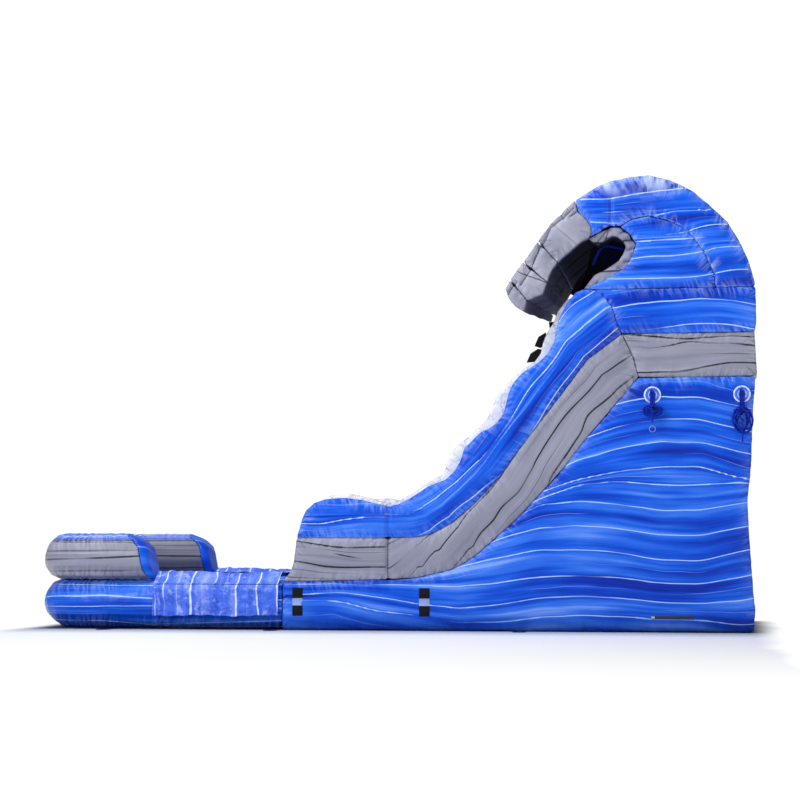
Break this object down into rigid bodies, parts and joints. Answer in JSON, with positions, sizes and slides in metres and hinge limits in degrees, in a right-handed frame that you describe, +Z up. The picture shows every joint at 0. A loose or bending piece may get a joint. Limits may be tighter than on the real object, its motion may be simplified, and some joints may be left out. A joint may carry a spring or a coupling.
{
  "type": "inflatable water slide",
  "caption": "Blow-up water slide with a wave-shaped hood over its platform, scalloped lane walls, a sliding bed, a splash pool with a padded bumper, and a climbing wall at its rear.",
  "frame": {"origin": "on the ground under the middle of the slide's length and width", "axes": "+X from the pool to the tower, +Z up, the side in the picture faces -Y"},
  "size_m": [7.4498, 3.77, 4.5698],
  "materials": {
    "blue_vinyl": "glossy coated vinyl, marbled blue",
    "grey_vinyl": "glossy coated vinyl, marbled grey",
    "pale_vinyl": "glossy coated vinyl, pale marble",
    "black_mesh": "coated mesh",
    "blue_webbing": "woven webbing",
    "clear_patch": "welded vinyl disc",
    "dark_hook_tape": "hook-and-loop tape",
    "ring_steel": "plain steel"
  },
  "bodies": {
    "slide": {"anchor_patch_back_far": "clear_patch", "anchor_patch_back_near": "clear_patch", "anchor_patch_front_far": "clear_patch", "anchor_patch_front_near": "clear_patch", "band_far": "grey_vinyl", "band_near": "grey_vinyl", "base_mattress": "blue_vinyl", "block_far": "grey_vinyl", "block_near": "grey_vinyl", "bumper_cap_far": "blue_vinyl", "bumper_cap_near": "blue_vinyl", "climb_handle_far": "blue_webbing", "climb_handle_near": "blue_webbing", "climb_wall": "blue_vinyl", "crest_course_1": "grey_vinyl", "crest_course_2": "grey_vinyl", "crest_course_3": "grey_vinyl", "crest_course_4": "grey_vinyl", "deflation_zip": "dark_hook_tape", "entry_mat_far": "blue_vinyl", "entry_mat_near": "blue_vinyl", "eye_roll_far": "grey_vinyl", "eye_roll_near": "grey_vinyl", "hood_cheek_far": "blue_vinyl", "hood_cheek_near": "blue_vinyl", "hood_roof": "blue_vinyl", "inflation_sleeve_back": "blue_vinyl", "inflation_sleeve_front": "blue_vinyl", "liner_far": "pale_vinyl", "liner_near": "pale_vinyl", "platform_deck": "blue_vinyl", "pool_bumper": "grey_vinyl", "pool_floor": "blue_vinyl", "pool_ring": "blue_vinyl", "safety_net_far": "black_mesh", "safety_net_near": "black_mesh", "shoulder_far": "blue_vinyl", "shoulder_near": "blue_vinyl", "side_strap_back": "dark_hook_tape", "side_strap_front": "dark_hook_tape", "slide_bed": "blue_vinyl", "stake_loop_join_far": "blue_webbing", "stake_loop_join_near": "blue_webbing", "stake_loop_pool_far": "blue_webbing", "stake_loop_pool_near": "blue_webbing", "stake_loop_tower_far": "blue_webbing", "stake_loop_tower_near": "blue_webbing", "tower_side_far": "blue_vinyl", "tower_side_near": "blue_vinyl", "wall_far": "blue_vinyl", "wall_near": "blue_vinyl"},
    "entry_skirt_near": {"entry_skirt_near": "blue_vinyl"},
    "entry_skirt_far": {"entry_skirt_far": "blue_vinyl"},
    "tether_front_near": {"tether_front_near": "blue_webbing", "tether_ring": "ring_steel"},
    "tether_back_near": {"tether_back_near": "blue_webbing"},
    "tether_front_far": {"tether_front_far": "blue_webbing"},
    "tether_back_far": {"tether_back_far": "blue_webbing"},
    "zip_slider": {"zip_slider": "ring_steel"}
  },
  "joints": [
    {"name": "skirt_near_lift", "type": "hinge", "parent": "slide", "child": "entry_skirt_near", "pos_m": [-2.34, -1.5313, 0.4557], "axis": [-1, 0, 0], "range_deg": [0, 100]},
    {"name": "tether_front_near_swing", "type": "hinge", "parent": "slide", "child": "tether_front_near", "pos_m": [2.69, -1.5396, 2.41], "axis": [-1, 0, 0], "range_deg": [0, 90]},
    {"name": "tether_back_near_swing", "type": "hinge", "parent": "slide", "child": "tether_back_near", "pos_m": [3.57, -1.5396, 2.41], "axis": [-1, 0, 0], "range_deg": [0, 90]},
    {"name": "skirt_far_lift", "type": "hinge", "parent": "slide", "child": "entry_skirt_far", "pos_m": [-2.34, 1.5313, 0.4557], "axis": [1, 0, 0], "range_deg": [0, 100]},
    {"name": "tether_front_far_swing", "type": "hinge", "parent": "slide", "child": "tether_front_far", "pos_m": [2.69, 1.5396, 2.41], "axis": [1, 0, 0], "range_deg": [0, 90]},
    {"name": "tether_back_far_swing", "type": "hinge", "parent": "slide", "child": "tether_back_far", "pos_m": [3.57, 1.5396, 2.41], "axis": [1, 0, 0], "range_deg": [0, 90]},
    {"name": "zip_slider_run", "type": "slide", "parent": "slide", "child": "zip_slider", "axis": [1, 0, 0], "range_m": [0, 0.385]}
  ]
}
